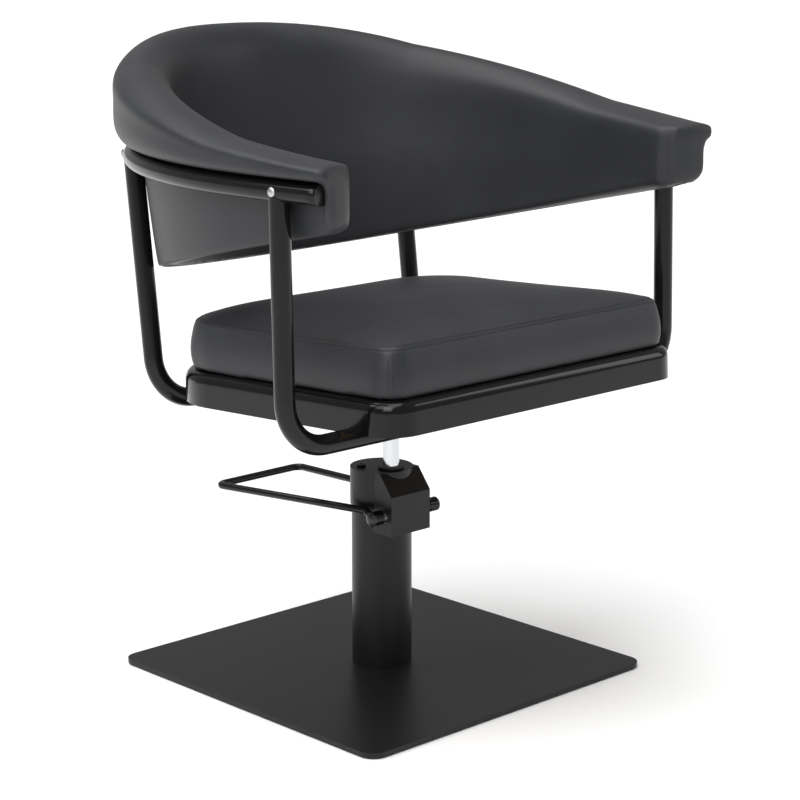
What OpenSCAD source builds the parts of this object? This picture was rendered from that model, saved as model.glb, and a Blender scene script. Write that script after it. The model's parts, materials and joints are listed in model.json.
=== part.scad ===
// Hydraulic styling chair: square floor plate, pump column with a foot pedal, and a
// swivelling seat with a wrap-around arm rail and padded back.
// Origin: swivel axis at the floor. +Z up, the sitter faces -Y. Millimetres.

/* [Base] */
// Side of the square floor plate
plate_side = 500; // [420:5:600]
// Corner radius of the floor plate
plate_corner_r = 22; // [10:1:60]
// Thickness of the floor plate
plate_t = 6; // [5:1:10]
// Thickness of the rubber sheet under the plate
mat_t = 2; // [1:0.5:4]
// Outer diameter of the pump column
column_d = 80; // [76:1:90]
// How far the column stands behind the swivel axis
column_back = 18; // [14:1:22]

/* [Pump] */
// Diameter of the piston rod
rod_d = 22; // [20:0.5:24]
// Outer diameter of the oil cylinder
cylinder_d = 33; // [32:0.5:35]
// Half width of the pedal shaft block
block_hw = 35; // [32:1:40]
// Height of the top of the pump head
head_top = 278; // [270:1:290]
// Height of the pedal shaft
shaft_z = 223; // [220:1:226]

/* [Pedal] */
// Diameter of the pedal bar
pedal_bar_d = 10; // [8:1:16]
// Length of the pedal loop behind its shaft
pedal_len = 296; // [220:2:340]
// Half width of the pedal loop at the rear
pedal_hw = 75; // [60:1:95]

/* [Seat frame] */
// Outer diameter of the frame tube
tube_d = 25; // [22:0.5:30]
// Wall of the frame tube
tube_wall = 2; // [1.2:0.1:3]
// Half distance between the front legs
front_leg_x = 336; // [332:1:341]
// Half distance between the rear legs
rear_leg_x = 234; // [228:1:240]
// Height of the arm rail's centre line
rail_z = 693; // [680:1:710]
// Radius of the bends at the bottom of the frames
bend_r = 60; // [45:1:75]

/* [Seat] */
// Half width of the seat pan
pan_hw = 258; // [235:1:262]
// Height of the seat pan
pan_h = 42; // [36:1:50]
// Radius of the pan's top edge
pan_edge_r = 14; // [8:1:18]
// Backward rake of the seat
rake = 3; // [0:0.5:4]
// Height of the cushion's side above the pan
cushion_side_h = 60; // [40:1:70]
// Height of the cushion's crown above its side
crown_h = 20; // [8:1:24]

/* [Back] */
// Height of the top of the roll at the rear
crest_rear = 850; // [820:1:880]
// Height of the top of the roll at the arm tips
crest_front = 727; // [722:1:740]
// Thickness of the inner pad
pad_t = 25; // [15:1:35]

/* [Hidden] */
$fn = 64;
SWEEP_STEP = 6;         // degrees between stations of the swept back pieces
RUN = 0.05;             // radial clearance of a running fit
GAP = 0.3;              // clearance between bodies that pass each other
EPS = 0.5;

// Base
plate_z = mat_t;
plate_top = plate_z + plate_t;
mat_inset = 4;
column_r = column_d / 2;
column_wall = 2.5;
foot_h = 10;
foot_pcd = 54;
bolt_r = 3;
bolt_head_r = 6;
bolt_head_h = 3;

// Pump
rod_r = rod_d / 2;
cyl_r = cylinder_d / 2;
bore_r = cyl_r - 3;
head_r = column_r + 2;
head_z = 197;           // underside of the pump head
neck_z = 228;           // where the head widens
cyl_z = plate_top + foot_h;
cyl_floor = cyl_z + 10;
gland_r = 15;
gland_rim = 3;
piston_z = 100;
piston_h = 20;
collar_z = 343.5;       // thrust collar on the rod
boss_z = 348;           // underside of the swivel boss
rod_top = 376;
shaft_y = -24;
shaft_r = 5;
cam_x = 24;
cam_w = 8;
cam_offset = 6;
cam_r = 4.5;
cavity_r = 12;
plunger_r = 3;
plunger_top = shaft_z - cam_r - 0.1;
plunger_h = 12;
plunger_bore_z = 200;
spring_wire_r = 0.4;
spring_turns = 4;

// Pedal
hub_x = 42;
hub_w = 14;
hub_r = 9.5;
pedal_r = pedal_bar_d / 2;
pedal_x0 = hub_x + hub_w / 2;
pedal_drop = 2.9;       // slope of the loop towards the rear, degrees
pedal_rise = 8;         // the bar leaves its hub and kinks up by this much
pedal_kink = 20;        // length over which it rises
pedal_splay = atan((pedal_hw - pedal_x0) / pedal_len);
pedal_bend_r = 12;
pedal_bend_steps = 6;
pedal_sides = 16;
pedal_start = 6;        // the bar starts inside its hub, where it is welded
pedal_s = (pedal_len - pedal_bend_r - pedal_bend_r * sin(pedal_splay)) / cos(pedal_splay);
pedal_bar_end = pedal_x0 + pedal_s * sin(pedal_splay) - pedal_bend_r * cos(pedal_splay);

// Frame
tube_r = tube_d / 2;
tube_ir = tube_r - tube_wall;
front_run = [-179.4, 389.4];   // y and z of the front frame's bottom run
rear_run = [194.6, 370.1];     // y and z of the rear frame's bottom run
leg_top = rail_z - 6;
cope_gap = 0.15;

// Plan of the rail: three tangent arcs a side, [radius, centre x, centre y].
// An angle is that of the outward normal, from +Y towards +X.
a_side = 54;
a_front = 90;
arc_rear = [308, 0, 34];
arc_side = next_arc(arc_rear, 485, a_side);
arc_front = next_arc(arc_side, 900, a_front);
a_end = 100.5;
a_tip = 101.35;

// The legs lean so that their tops meet the rail
front_leg_y = arc_front[2] - sqrt(pow(arc_front[0], 2) - pow(front_leg_x - arc_front[1], 2));
rear_leg_y = arc_rear[2] + sqrt(pow(arc_rear[0], 2) - pow(rear_leg_x, 2));
front_lean = atan((front_leg_y - front_run[0]) / (rail_z - front_run[1]));
rear_lean = atan((rear_leg_y - rear_run[0]) / (rail_z - rear_run[1]));

function next_arc(c, r, a) = [r, c[1] - (r - c[0]) * sin(a), c[2] - (r - c[0]) * cos(a)];
function arc_of(a) = a < a_side ? arc_rear : a < a_front ? arc_side : arc_front;
function side_pt(a, off, c) = [c[1] + (c[0] + off) * sin(a), c[2] + (c[0] + off) * cos(a)];
function plan(a, off = 0) =
    let (p = side_pt(abs(a), off, arc_of(abs(a))))
    [a < 0 ? -p[0] : p[0], p[1]];

// Seat
pan_front = -276;
pan_rear = 176;
pan_rf = 40;
pan_rr = 110;
pan_wall = 3;
seat_z0 = 392.67;       // height of the pan's underside above the swivel axis
ledge = 7;
board_t = 14;
board_inset = 15;
cleat_top = pan_h - pan_wall - board_t;
bar_x = 60;
bar_w = 30;
bar_top = -2.5;
bar_h = 20;
bracket_t = 8;
bracket_hw = 85;
boss_r = 24;
bush_r = 14;
screw_r = 3;
screw_head_r = 5.5;

// Back, offsets from the rail's plan curve
panel_out = -14;
panel_t = 6;
ply_t = 9;
taper = 0.12;           // inward lean below the rail
layer_gap = 0.2;
taper_z = 680;
hem_slope = -0.21;
hem_z0 = 597;
roll_h = 60;
roll_clear = rail_z + tube_r + 2.5;
roll_lip = 2;           // least drop of the roll's outer side past the panel
roll_centre = -10;
roll_hw_rear = 39;
roll_hw_front = 33;
roll_foot = 5;          // outer end of the roll's flat underside
roll_tuck = 12;         // inner end of the underside, in from the roll's inner side
roll_steps = 6;         // points on each quarter of the roll
back_hem = 4;
nose_hw = 26;
nose_mid = -24;
nose_t = 12;
nose_low_r = 24;
nose_high_r = 16;
plug_dome = 3.5;
face_turn = 0.24;       // the layers go past the rail's end by this many degrees

shell_out = panel_out - panel_t - layer_gap;

function hem_z(a) = hem_z0 + hem_slope * plan(a)[1];
function crest_z(a) =
    crest_front + (crest_rear - crest_front) * (1 + cos(180 * pow(min(1, abs(a) / a_tip), 1.7))) / 2;
function roll_z(a) = max(roll_clear + roll_lip, crest_z(a) - roll_h);
function lean(z) = taper * max(0, taper_z - z);

// ---------- helpers ----------

// Rectangle from y0 to y1 with front corners rf and rear corners rr
module outline(hw, y0, y1, rf, rr) {
    translate([-hw, y0 + rf]) square([2 * hw, y1 - rr - y0 - rf]);
    translate([-hw + rf, y0]) square([2 * (hw - rf), rf + 1]);
    translate([-hw + rr, y1 - rr - 1]) square([2 * (hw - rr), rr + 1]);
    for (s = [-1, 1]) {
        translate([s * (hw - rf), y0 + rf]) circle(rf);
        translate([s * (hw - rr), y1 - rr]) circle(rr);
    }
}

module raked() {
    translate([0, 0, seat_z0]) rotate([-rake, 0, 0]) children();
}

module along_x(x0, x1, r, y = 0, z = 0) {
    translate([x0, y, z]) rotate([0, 90, 0]) cylinder(r = r, h = x1 - x0);
}

module both_sides() {
    children();
    mirror([1, 0, 0]) children();
}

// Closed skin over rings of points, each ring having the same count
module skin(rings) {
    n = len(rings[0]);
    m = len(rings);
    polyhedron(
        points = [for (r = rings) for (p = r) p],
        faces = concat(
            [[for (j = [0:n - 1]) j]],
            [[for (j = [0:n - 1]) (m - 1) * n + n - 1 - j]],
            [for (i = [0:m - 2]) for (j = [0:n - 1])
                [i * n + j, (i + 1) * n + j, (i + 1) * n + (j + 1) % n]],
            [for (i = [0:m - 2]) for (j = [0:n - 1])
                [i * n + j, (i + 1) * n + (j + 1) % n, i * n + (j + 1) % n]]
        ),
        convexity = 8
    );
}

function spread(a0, a1, n) = [for (i = [0:n - 1]) a0 + (a1 - a0) * i / n];
function rail_stations(extra) = concat(
    spread(-a_end - extra, -a_front, 3), spread(-a_front, -a_side, 9),
    spread(-a_side, a_side, 18), spread(a_side, a_front, 9),
    spread(a_front, a_end + extra, 3), [a_end + extra]);
function stations(a_max) =
    let (n = ceil(2 * a_max / SWEEP_STEP)) [for (i = [0:n]) -a_max + 2 * a_max * i / n];

// Sheet of the back between two offsets, from the hem to the underside of the roll
module back_layer(out, inn, hem_up, top_down) {
    skin([for (a = stations(a_end + face_turn))
        let (zb = hem_z(a) + hem_up, zt = roll_z(a) - top_down, zk = max(zb + 1, taper_z))
        [for (q = [[out, zb], [out, zk], [out, zt], [inn, zt], [inn, zk], [inn, zb]])
            let (p = plan(a, q[0] - lean(q[1]))) [p[0], p[1], q[1]]]]);
}

// Arc of round bar at the rail's height, angles counted from +X
module bar_arc(c, a0, a1, r) {
    translate([c[1], c[2], rail_z]) rotate([0, 0, a0]) rotate_extrude(angle = a1 - a0)
        translate([c[0], 0]) circle(r);
}

// The rail's run as a bar of radius r, going past both ends by extra degrees
module rail_bar(r, sides, extra = 0) {
    skin([for (a = rail_stations(extra)) [for (j = [0:sides - 1])
        let (t = 360 * j / sides, p = plan(a, r * cos(t)))
        [p[0], p[1], rail_z + r * sin(t)]]]);
}

// U of round bar: bottom run at [y, z], legs leaning back by lean degrees
module frame_u(x, run, lean_deg, leg_len, r) {
    translate([0, run[0], run[1]]) rotate([-lean_deg, 0, 0]) {
        along_x(-(x - bend_r), x - bend_r, r);
        both_sides() {
            translate([x - bend_r, 0, bend_r]) rotate([90, 0, 0]) rotate([0, 0, -90])
                rotate_extrude(angle = 90) translate([bend_r, 0]) circle(r);
            translate([x, 0, bend_r]) cylinder(r = r, h = leg_len - bend_r);
        }
    }
}

// Tube bent to a U, its leg tops fitted under the rail
module frame_tube(x, run, lean_deg, arc, cut) {
    len_leg = (leg_top - run[1]) / cos(lean_deg);
    difference() {
        frame_u(x, run, lean_deg, len_leg, tube_r);
        frame_u(x, run, lean_deg, len_leg + 1, tube_ir);
        both_sides() bar_arc(arc, cut[0], cut[1], tube_r + cope_gap);
    }
}

// Places its children on the rail at angle a, +Z pointing outward
module on_rail(a) {
    p = plan(a);
    translate([p[0], p[1], rail_z]) rotate([0, 0, -a]) rotate([-90, 0, 0]) children();
}

rail_screw_angles = [-96.5, -49.4, -18, 18, 49.4, 96.5];

// ---------- base ----------

module floor_mat() {
    color([0.06, 0.06, 0.06])
        translate([0, column_back, 0]) linear_extrude(mat_t) {
            h = plate_side / 2 - mat_inset;
            outline(h, -h, h, plate_corner_r, plate_corner_r);
        }
}

module at_foot_bolts(z) {
    for (i = [0:3])
        translate([0, column_back, z]) rotate([0, 0, 45 + 90 * i])
            translate([foot_pcd / 2, 0, 0]) children();
}

module base_plate() {
    h = plate_side / 2;
    color([0.08, 0.08, 0.085]) difference() {
        translate([0, column_back, plate_z]) linear_extrude(plate_t)
            outline(h, -h, h, plate_corner_r, plate_corner_r);
        at_foot_bolts(plate_z - EPS) cylinder(r = bolt_r, h = plate_t + 2 * EPS);
        at_foot_bolts(plate_z) cylinder(r1 = bolt_head_r, r2 = bolt_r, h = bolt_head_h);
    }
}

module plate_bolts() {
    color([0.5, 0.5, 0.52]) at_foot_bolts(plate_z) {
        cylinder(r1 = bolt_head_r, r2 = bolt_r, h = bolt_head_h);
        translate([0, 0, bolt_head_h]) cylinder(r = bolt_r, h = plate_t + foot_h - 2 - bolt_head_h);
    }
}

module foot_ring() {
    color([0.1, 0.1, 0.1]) difference() {
        translate([0, column_back, plate_top]) cylinder(r = column_r - column_wall, h = foot_h);
        at_foot_bolts(plate_top - EPS) cylinder(r = bolt_r, h = foot_h - 2 + EPS);
    }
}

module column_cover() {
    color([0.09, 0.09, 0.095]) translate([0, column_back, plate_top]) difference() {
        cylinder(r = column_r, h = head_z - plate_top);
        translate([0, 0, -EPS])
            cylinder(r = column_r - column_wall, h = head_z - plate_top + 2 * EPS);
    }
}

module pump_cylinder() {
    color([0.6, 0.6, 0.62]) difference() {
        translate([0, 0, cyl_z]) cylinder(r = cyl_r, h = neck_z - cyl_z);
        translate([0, 0, cyl_floor]) cylinder(r = bore_r, h = neck_z - cyl_floor + EPS);
    }
}

module pump_head() {
    color([0.09, 0.09, 0.095]) difference() {
        union() {
            translate([0, column_back, head_z]) cylinder(r = column_r, h = neck_z - head_z);
            translate([0, column_back, neck_z]) cylinder(r = head_r, h = head_top - neck_z);
            translate([-block_hw, 0, 0]) rotate([90, 0, 90]) linear_extrude(2 * block_hw)
                polygon([[-38, head_z], [10, head_z], [10, head_top], [-16, head_top], [-38, 250]]);
        }
        translate([0, 0, head_z - EPS]) cylinder(r = cyl_r, h = neck_z - head_z + EPS);
        translate([0, 0, neck_z - EPS]) cylinder(r = gland_r, h = head_top - neck_z + 2 * EPS);
        along_x(-block_hw - EPS, block_hw + EPS, shaft_r + RUN, shaft_y, shaft_z);
        along_x(cam_x - cam_w / 2 - 1, cam_x + cam_w / 2 + 1, cavity_r, shaft_y, shaft_z);
        translate([cam_x, shaft_y + cam_offset, plunger_bore_z])
            cylinder(r = plunger_r + RUN, h = plunger_top - plunger_bore_z);
        translate([-22, column_back + 16, head_top - 8]) cylinder(r = 4, h = 9);
    }
}

module rod_gland() {
    color([0.55, 0.55, 0.57]) difference() {
        union() {
            translate([0, 0, neck_z]) cylinder(r = gland_r, h = head_top - neck_z);
            translate([0, 0, head_top]) cylinder(r = gland_r + 2, h = gland_rim);
        }
        translate([0, 0, neck_z - EPS])
            cylinder(r = rod_r + RUN, h = head_top - neck_z + gland_rim + 2 * EPS);
    }
}

module filler_plug() {
    color([0.45, 0.45, 0.47]) translate([-22, column_back + 16, head_top - 8]) difference() {
        union() {
            cylinder(r = 4, h = 8);
            translate([0, 0, 8]) cylinder(r = 6, h = 3);
        }
        translate([0, 0, 9]) cylinder(r = 2.5, h = 3, $fn = 6);
    }
}

module plunger_spring() {
    h = plunger_top - plunger_h - plunger_bore_z;
    helix_r = plunger_r - spring_wire_r - 0.1;
    lift = h - 2 * spring_wire_r;
    steps = 16 * spring_turns;
    color([0.6, 0.6, 0.62]) translate([cam_x, shaft_y + cam_offset, plunger_bore_z])
        skin([for (i = [0:steps])
            let (t = 360 * i / 16)
            [for (j = [0:5])
                let (r = helix_r + spring_wire_r * cos(-60 * j))
                [r * cos(t), r * sin(t), spring_wire_r + lift * i / steps
                    + spring_wire_r * sin(-60 * j)]]]);
}

// ---------- pedal ----------

module pump_plunger() {
    color([0.7, 0.7, 0.72])
        translate([cam_x, shaft_y + cam_offset, plunger_top - plunger_h])
            cylinder(r = plunger_r, h = plunger_h);
}

module pedal_shaft() {
    end = hub_x + hub_w;
    color([0.55, 0.55, 0.57]) {
        along_x(-end, end, shaft_r, shaft_y, shaft_z);
        along_x(cam_x - cam_w / 2, cam_x + cam_w / 2, cam_r, shaft_y + cam_offset, shaft_z);
    }
}

module shaft_collars() {
    color([0.5, 0.5, 0.52]) both_sides() difference() {
        along_x(block_hw + GAP, hub_x, shaft_r + 3, shaft_y, shaft_z);
        along_x(block_hw, hub_x + EPS, shaft_r, shaft_y, shaft_z);
    }
}

module shaft_caps() {
    color([0.1, 0.1, 0.1]) both_sides()
        translate([hub_x + hub_w, shaft_y, shaft_z]) rotate([0, 90, 0]) rotate_extrude()
            intersection() {
                translate([0, -8]) circle(14);
                square([hub_r, 6]);
            }
}

module pedal_hubs() {
    color([0.07, 0.07, 0.07]) both_sides() difference() {
        along_x(hub_x, hub_x + hub_w, hub_r, shaft_y, shaft_z);
        along_x(hub_x - EPS, hub_x + hub_w + EPS, shaft_r, shaft_y, shaft_z);
    }
}

// Right half of the loop: [x, y, angle of the outward normal, z]
function half_loop() = concat(
    [for (k = [0:3])
        let (y = pedal_start + (pedal_kink - pedal_start) * k / 3)
        [pedal_x0 + y * sin(pedal_splay), y, -pedal_splay, pedal_rise * (1 - cos(60 * k)) / 2]],
    [for (i = [0:pedal_bend_steps])
        let (t = -pedal_splay + (90 + pedal_splay) * i / pedal_bend_steps)
        [pedal_bar_end + pedal_bend_r * cos(t), pedal_len - pedal_bend_r
            + pedal_bend_r * sin(t), t, pedal_rise]]);

module pedal_frame() {
    right = half_loop();
    last = len(right) - 1;
    left = [for (i = [last:-1:0]) [-right[i][0], right[i][1], 180 - right[i][2], right[i][3]]];
    color([0.07, 0.07, 0.07])
        translate([0, shaft_y, shaft_z]) rotate([-pedal_drop, 0, 0])
            skin([for (s = concat(right, left)) [for (j = [0:pedal_sides - 1])
                let (t = -360 * j / pedal_sides, d = pedal_r * cos(t))
                [s[0] + d * cos(s[2]), s[1] + d * sin(s[2]), s[3] + pedal_r * sin(t)]]]);
}

// ---------- lift ----------

module piston() {
    groove = 2.5;
    color([0.6, 0.6, 0.62]) translate([0, 0, piston_z]) difference() {
        cylinder(r = bore_r - RUN, h = piston_h);
        for (z = [4, 13]) translate([0, 0, z]) difference() {
            cylinder(r = bore_r + 1, h = groove);
            translate([0, 0, -EPS]) cylinder(r = bore_r - 2, h = groove + 2 * EPS);
        }
        translate([0, 0, piston_h - 12]) cylinder(r = 6, h = 13);
    }
}

module piston_seals() {
    color([0.05, 0.05, 0.05]) for (z = [4, 13]) translate([0, 0, piston_z + z]) difference() {
        cylinder(r = bore_r - RUN, h = 2.5);
        translate([0, 0, -EPS]) cylinder(r = bore_r - 2, h = 4);
    }
}

module piston_rod() {
    color([0.8, 0.8, 0.82]) difference() {
        union() {
            translate([0, 0, piston_z + piston_h - 12]) cylinder(r = 6, h = 12);
            translate([0, 0, piston_z + piston_h])
                cylinder(r = rod_r, h = rod_top - piston_z - piston_h);
            translate([0, 0, collar_z]) cylinder(r = rod_r + 4, h = boss_z - GAP - collar_z);
        }
        translate([0, 0, rod_top - 14]) cylinder(r = 4, h = 15);
    }
}

module swivel_washer() {
    color([0.6, 0.6, 0.62]) translate([0, 0, rod_top]) difference() {
        cylinder(r = 16, h = 2.5);
        translate([0, 0, -EPS]) cylinder(r = 4, h = 4);
    }
}

module swivel_screw() {
    color([0.5, 0.5, 0.52]) translate([0, 0, rod_top]) difference() {
        union() {
            translate([0, 0, -14]) cylinder(r = 4, h = 16.5);
            translate([0, 0, 2.5]) cylinder(r = 7, h = 5);
        }
        translate([0, 0, 4.5]) cylinder(r = 3.5, h = 4, $fn = 6);
    }
}

// ---------- seat frame ----------

module at_bracket_bolts() {
    raked() for (x = [-bar_x, bar_x]) for (y = [-bracket_hw + 15, bracket_hw - 15])
        translate([x, y, bar_top - bar_h - bracket_t]) children();
}

module seat_socket() {
    color([0.1, 0.1, 0.1]) difference() {
        union() {
            raked() translate([-bracket_hw, -bracket_hw, bar_top - bar_h - bracket_t])
                cube([2 * bracket_hw, 2 * bracket_hw, bracket_t]);
            translate([0, 0, boss_z]) cylinder(r = boss_r, h = 18);
        }
        translate([0, 0, boss_z - EPS]) cylinder(r = bush_r, h = 40);
        at_bracket_bolts() translate([0, 0, -EPS]) cylinder(r = screw_r, h = bracket_t + 2 * EPS);
    }
}

module swivel_bush() {
    color([0.72, 0.55, 0.25]) translate([0, 0, boss_z]) difference() {
        cylinder(r = bush_r, h = rod_top - GAP - boss_z);
        translate([0, 0, -EPS]) cylinder(r = rod_r + RUN, h = 40);
    }
}

module socket_bolts() {
    color([0.5, 0.5, 0.52]) at_bracket_bolts() {
        translate([0, 0, -4]) cylinder(r = screw_head_r, h = 4);
        cylinder(r = screw_r, h = bracket_t + 10);
    }
}

module at_cleat_screws() {
    raked() for (x = [-bar_x, bar_x]) for (y = [-120, 120])
        translate([x, y, bar_top - bar_h]) children();
}

module support_bars() {
    color([0.1, 0.1, 0.1]) difference() {
        raked() for (x = [-bar_x, bar_x])
            translate([x - bar_w / 2, front_run[0], bar_top - bar_h])
                cube([bar_w, rear_run[0] - front_run[0], bar_h]);
        along_x(-100, 100, tube_r, front_run[0], front_run[1]);
        along_x(-100, 100, tube_r, rear_run[0], rear_run[1]);
        translate([-100, front_run[0] - 30, front_run[1] - 30]) cube([200, 30, 60]);
        translate([-100, rear_run[0], rear_run[1] - 30]) cube([200, 30, 60]);
        at_bracket_bolts() translate([0, 0, bracket_t - EPS]) cylinder(r = screw_r, h = 10 + EPS);
        at_cleat_screws() translate([0, 0, -EPS]) cylinder(r = screw_r, h = bar_h + 2 * EPS);
    }
}

module front_frame() {
    color([0.06, 0.06, 0.065]) frame_tube(front_leg_x, front_run, front_lean, arc_front, [90 - a_end, 0]);
}

module rear_frame() {
    color([0.06, 0.06, 0.065])
        frame_tube(rear_leg_x, rear_run, rear_lean, arc_rear, [90 - a_side, 90 - a_side + 25]);
}

module arm_rail() {
    color([0.06, 0.06, 0.065]) difference() {
        rail_bar(tube_r, 20);
        rail_bar(tube_ir, 12, 0.5);
    }
}

module rail_plugs() {
    end = plan(a_end);
    color([0.05, 0.05, 0.05]) both_sides()
        translate([end[0], end[1], rail_z]) rotate([0, 0, -a_end]) rotate([0, 90, 0]) {
            translate([0, 0, -10]) cylinder(r = tube_ir - 0.5, h = 10);
            rotate_extrude() intersection() {
                translate([0, -26]) circle(26 + plug_dome, $fn = 160);
                square([tube_r, 6]);
            }
        }
}

module rail_screws() {
    color([0.45, 0.45, 0.47]) for (a = rail_screw_angles) on_rail(a) {
        translate([0, 0, -tube_r - 12]) cylinder(r = screw_r, h = 2 * tube_r + 12);
        translate([0, 0, tube_r]) rotate_extrude() intersection() {
            translate([0, -5]) circle(8);
            square([screw_head_r, 6]);
        }
    }
}

// ---------- seat ----------

module seat_cleats() {
    color([0.65, 0.5, 0.32]) difference() {
        raked() for (x = [-bar_x, bar_x]) translate([x - bar_w / 2, -150, bar_top])
            cube([bar_w, 310, cleat_top - bar_top]);
        at_cleat_screws() translate([0, 0, bar_h - EPS]) cylinder(r = screw_r, h = 18 + EPS);
    }
}

module cleat_screws() {
    color([0.5, 0.5, 0.52]) at_cleat_screws() {
        translate([0, 0, -3]) cylinder(r = screw_head_r, h = 3);
        cylinder(r = screw_r, h = bar_h + 18);
    }
}

module seat_board() {
    i = board_inset;
    color([0.72, 0.58, 0.38]) raked() translate([0, 0, cleat_top]) linear_extrude(board_t)
        outline(pan_hw - i, pan_front + i, pan_rear - i, pan_rf - i, pan_rr - i);
}

// Wall and rounded top edge of the pan, outside at x = 0, inside towards -x
module pan_profile() {
    e = pan_edge_r;
    translate([-pan_wall, 0]) square([pan_wall, pan_h - e]);
    translate([-e, pan_h - e]) intersection() {
        difference() {
            circle(e);
            circle(e - pan_wall);
        }
        square(e + 1);
    }
}

module pan_corner(x, y, r, start) {
    translate([x, y, 0]) rotate([0, 0, start]) rotate_extrude(angle = 90)
        translate([r, 0]) pan_profile();
}

// Straight run of the pan's edge, outside on the right of the way it goes
module pan_side(x, y, turn, len_side) {
    translate([x, y, 0]) rotate([0, 0, turn]) rotate([90, 0, 180]) linear_extrude(len_side)
        mirror([1, 0]) pan_profile();
}

module seat_pan() {
    e = pan_edge_r;
    side_len = pan_rear - pan_rr - pan_front - pan_rf;
    color([0.03, 0.03, 0.03]) raked() {
        translate([0, 0, pan_h - pan_wall]) linear_extrude(pan_wall)
            outline(pan_hw - e, pan_front + e, pan_rear - e, pan_rf - e, pan_rr - e);
        both_sides() {
            pan_corner(pan_hw - pan_rf, pan_front + pan_rf, pan_rf, -90);
            pan_corner(pan_hw - pan_rr, pan_rear - pan_rr, pan_rr, 0);
            pan_side(pan_hw, pan_front + pan_rf, 0, side_len);
        }
        pan_side(-pan_hw + pan_rf, pan_front, -90, 2 * (pan_hw - pan_rf));
        pan_side(pan_hw - pan_rr, pan_rear, 90, 2 * (pan_hw - pan_rr));
    }
}

module cushion_slice(h, inset, t) {
    translate([0, 0, h]) linear_extrude(t)
        outline(pan_hw - ledge - inset, pan_front + ledge + inset, pan_rear - ledge - inset,
            max(8, pan_rf - 6 - inset), max(8, pan_rr - 6 - inset), $fn = 48);
}

module seat_cushion() {
    top = pan_h + cushion_side_h;
    color([0.09, 0.09, 0.1]) raked() hull() {
        cushion_slice(pan_h, 5, 1);
        cushion_slice(pan_h + 20, 0, 1);
        cushion_slice(top - 1, 8, 1);
        cushion_slice(top + crown_h * 0.7, 42, 0.5);
        cushion_slice(top + crown_h, 95, 0.5);
    }
}

// ---------- back ----------

module back_shell() {
    color([0.7, 0.56, 0.36])
        back_layer(shell_out, shell_out - ply_t, back_hem, 0);
}

module back_outer_panel() {
    color([0.09, 0.09, 0.1]) back_layer(panel_out, panel_out - panel_t, 0, 0);
}

module back_inner_pad() {
    pad_out = shell_out - ply_t - layer_gap;
    color([0.09, 0.09, 0.1]) back_layer(pad_out, pad_out - pad_t, 0, 0);
}

// Rounded upholstered ends of the arms, in front of the rail's ends
module arm_noses() {
    end = plan(a_end);
    low = hem_z(a_end);
    color([0.09, 0.09, 0.1]) both_sides()
        translate([end[0], end[1], 0]) rotate([0, 0, -a_end])
            translate([plug_dome + GAP, nose_mid, 0]) rotate([90, 0, 90]) linear_extrude(nose_t)
                outline(nose_hw, low, roll_clear - GAP, nose_low_r, nose_high_r);
}

// Quarter of a soft rectangle about c with half sides h, from angle t0 on
function quarter(c, h, t0) = [for (i = [0:roll_steps - 1])
    let (t = t0 + 90 * i / roll_steps, k = 0.8)
    [c[0] + h[0] * sign(cos(t)) * pow(abs(cos(t)), k),
        c[1] + h[1] * sign(sin(t)) * pow(abs(sin(t)), k)]];

// Section of the roll as [offset, z]: it sits on the layers and comes down outside them
function roll_section(a) =
    let (hw = roll_hw_rear + (roll_hw_front - roll_hw_rear) * pow(abs(a) / a_tip, 1.5),
        zt = crest_z(a), zi = roll_z(a) + GAP, zs = roll_clear,
        zm = (zt + zs) / 2, zn = (zt + zi) / 2, out = roll_centre + hw, inn = roll_centre - hw)
    concat(
        quarter([roll_centre, zm], [hw, zt - zm], 0),
        quarter([roll_centre, zn], [hw, zt - zn], 90),
        quarter([inn + roll_tuck, zn], [roll_tuck, zn - zi], 180),
        [[inn + roll_tuck, zi], [panel_out + 3 * GAP, zi], [panel_out + 3 * GAP, zs]],
        quarter([roll_foot, zm], [out - roll_foot, zm - zs], 270));

module back_roll() {
    color([0.09, 0.09, 0.1])
        skin([for (a = stations(a_tip)) [for (q = roll_section(a))
            let (p = plan(a, q[0])) [p[0], p[1], q[1]]]]);
}

floor_mat();
base_plate();
plate_bolts();
foot_ring();
column_cover();
pump_cylinder();
pump_head();
rod_gland();
filler_plug();
plunger_spring();
pump_plunger();
pedal_shaft();
shaft_collars();
shaft_caps();
pedal_hubs();
pedal_frame();
piston();
piston_seals();
piston_rod();
swivel_washer();
swivel_screw();
seat_socket();
swivel_bush();
socket_bolts();
support_bars();
front_frame();
rear_frame();
arm_rail();
rail_plugs();
rail_screws();
seat_cleats();
cleat_screws();
seat_board();
seat_pan();
seat_cushion();
back_shell();
back_outer_panel();
back_inner_pad();
arm_noses();
back_roll();
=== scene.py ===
import json
import math

import bmesh
import bpy
import numpy as np
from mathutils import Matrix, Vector
from mathutils.bvhtree import BVHTree


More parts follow.
